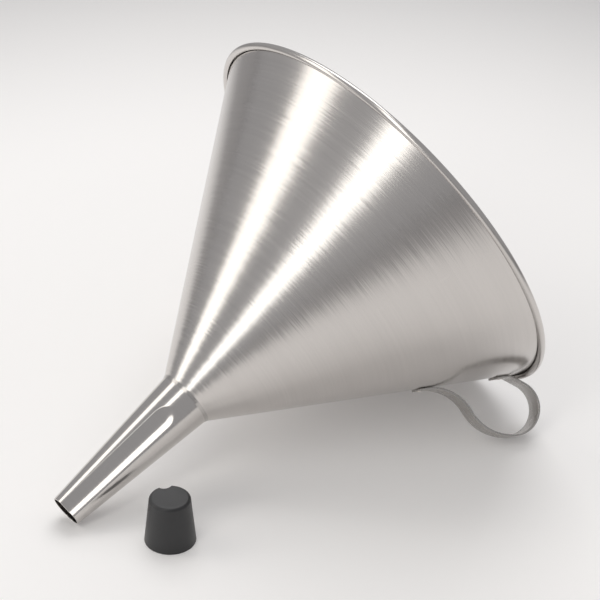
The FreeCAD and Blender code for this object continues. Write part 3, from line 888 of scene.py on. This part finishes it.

# %% [markdown]
# ## Table and room
#
# The object stands on a plain white sheet that fills the view. Polished metal shows its surroundings more
# than its own colour, so the table is also what the lower half of the cone mirrors. An even white sheet
# would leave a bright line where it meets the darker room. Instead the sheet carries a painted pool of
# light: round the object it is painted white with a faint painted glow, and further off its colour fades
# into painted shade as dim as the room, so the steel mirrors one soft change of tone and no edge.

# %% Table
TABLE_HALF = 4.0  # m
# Painted light on the sheet: inside the first radius it is painted white and glows, past the second its
# colour is painted shade as dim as the room.
PAINTED_LIGHT_RADIUS = 0.26  # m, white as far as this from the middle of the object
PAINTED_SHADE_RADIUS = 0.75  # m, as dim as the room from here on
# Colour of the sheet's painted glow round the object; the sheet is no lamp.
PAINTED_GLOW = (1.0, 0.985, 0.975, 1)
NO_PAINTED_GLOW = (0, 0, 0, 1)
PAINTED_SHADE_SHEET = (0.36, 0.355, 0.36, 1)

table_points = TABLE_HALF * np.array([[-1.0, -1, 0], [1, -1, 0], [1, 1, 0], [-1, 1, 0]])
table_mesh = bpy.data.meshes.new("white_table")
table_mesh.from_pydata(table_points.tolist(), [], [[0, 1, 2, 3]])
table = bpy.data.objects.new("white_table", table_mesh)
bpy.context.scene.collection.objects.link(table)

paint = Paint("white_sheet_painted_pool")
where = paint.node("TexCoord").out("Object")
cloud = paint.noise(where, scale=3, detail=2)
# Painted falloff mask: 0 near the object, 1 far off; it turns the painted pool of light into painted shade.
far = paint.node(
    "MapRange",
    {"interpolation_type": "SMOOTHSTEP"},
    {"Value": paint.vector("LENGTH", where).out("Value"), "From Min": PAINTED_LIGHT_RADIUS, "From Max": PAINTED_SHADE_RADIUS},
)
painted_lit_colour = paint.blend(cloud, (0.88, 0.865, 0.855, 1), (0.9, 0.885, 0.875, 1))
# The base colour fades from white into painted shade, and the emission is a painted glow round the object.
sheet_shader = paint.node(
    "BsdfPrincipled",
    None,
    {
        "Base Color": paint.blend(far, painted_lit_colour, PAINTED_SHADE_SHEET),
        "Roughness": 0.8,
        "Emission Color": paint.blend(far, PAINTED_GLOW, NO_PAINTED_GLOW),
        "Emission Strength": 0.1,
    },
)
wear(table, paint.finish(sheet_shader))

# %% Room
ROOM_GLOW = 0.42

world = bpy.data.worlds.new("dim_room")
world.use_nodes = True
room_light = world.node_tree.nodes["Background"]
room_light.inputs["Color"].default_value = (0.98, 0.98, 1.0, 1)
room_light.inputs["Strength"].default_value = ROOM_GLOW
bpy.context.scene.world = world
print("room glows at", ROOM_GLOW)

# %% [markdown]
# ## Soft boxes
#
# Two long lamps give the cone its two bright bands from rim to neck. They could be moved about by hand
# until the bands look right. Here each is placed by working out where a ray from the camera goes after it
# meets the cone, and the spout, at a chosen angle about the axis. A third, square lamp lights the table
# from the side that the cone doesn't mirror.

# %% Soft boxes
def mirrored(angle, slope):
    """Where a ray from the camera goes after it meets a wall of the funnel from outside.

    The outward normal is the radial direction at the angle, times the cosine of the wall's slope, less
    the axis times its sine, and the ray r leaves as r - 2 (r . n) n.
    """
    radial = np.cos(angle) * down + np.sin(angle) * side
    normal = np.cos(slope) * radial - np.sin(slope) * axis
    return ahead - 2 * np.dot(ahead, normal) * normal


LAMP_DISTANCE = 2.6  # m from the funnel


def soft_box(name, on_cone, on_spout, past, radiance, colour):
    """A long flat lamp that the cone and the spout mirror between two angles about the axis, in degrees.

    Its middle line runs from the direction that the cone mirrors to the one that the spout mirrors, and
    on past them by two angles. Its width is what the cone's two angles are apart.
    """
    past_cone, past_spout = np.radians(past)
    cone_low, cone_high = (mirrored(np.radians(a), slant) for a in on_cone)
    cone_middle = mirrored(np.radians(sum(on_cone) / 2), slant)
    spout_middle = mirrored(np.radians(sum(on_spout) / 2), np.arctan(spout_slope))
    turn = np.arccos(np.dot(cone_middle, spout_middle))
    onward = spout_middle - cone_middle * np.cos(turn)
    onward /= np.linalg.norm(onward)
    first, last = -past_cone, turn + past_spout
    centre_turn = (first + last) / 2
    facing = np.cos(centre_turn) * cone_middle + np.sin(centre_turn) * onward
    along = -np.sin(centre_turn) * cone_middle + np.cos(centre_turn) * onward
    length = 2 * LAMP_DISTANCE * np.tan((last - first) / 2)
    width = LAMP_DISTANCE * np.linalg.norm(cone_high - cone_low)
    place_at = (tip + axis * 120.0) * MM + facing * LAMP_DISTANCE
    lamp = bpy.data.lights.new(name, "AREA")
    lamp.shape = "RECTANGLE"
    lamp.size = width
    lamp.size_y = length
    lamp.color = colour
    lamp.energy = radiance * np.pi * width * length
    box = bpy.data.objects.new(name, lamp)
    turned = Matrix([Vector(np.cross(along, facing)), Vector(along), Vector(facing)]).transposed()
    box.matrix_world = Matrix.Translation(place_at) @ turned.to_4x4()
    bpy.context.scene.collection.objects.link(box)
    ends = [(place_at + along * length * half)[2] for half in (-0.5, 0.5)]
    print(f"{name}: {width:.2f} x {length:.2f} m, ends {ends[0]:.2f} and {ends[1]:.2f} m above the table")


FRONT_COLOUR = (1.0, 0.985, 0.94)
BACK_COLOUR = (1.0, 0.97, 0.91)
soft_box("front_box", (-153.5, -143.5), (-160.0, -148.0), past=(16, 14), radiance=1.9, colour=FRONT_COLOUR)
soft_box("back_box", (-182.5, -170.0), (-184.5, -172.0), past=(16, 0), radiance=1.7, colour=BACK_COLOUR)


def overhead(name, place_at, target, size, radiance):
    """A square soft lamp that lights the table from a side that the cone doesn't mirror."""
    lamp = bpy.data.lights.new(name, "AREA")
    lamp.shape = "SQUARE"
    lamp.size = size
    lamp.energy = radiance * np.pi * size * size
    box = bpy.data.objects.new(name, lamp)
    box.location = place_at
    box.rotation_euler = (Vector(target) - Vector(place_at)).to_track_quat("-Z", "Y").to_euler()
    bpy.context.scene.collection.objects.link(box)
    print(f"{name}: {size:.2f} m square, {lamp.energy:.0f} W")


overhead("mouth_side_box", place_at=(1.3, 1.3, 3.0), target=(0, 0, 0), size=2.6, radiance=2.2)
bpy.context.scene.view_settings.view_transform = "Standard"  # whites stay white
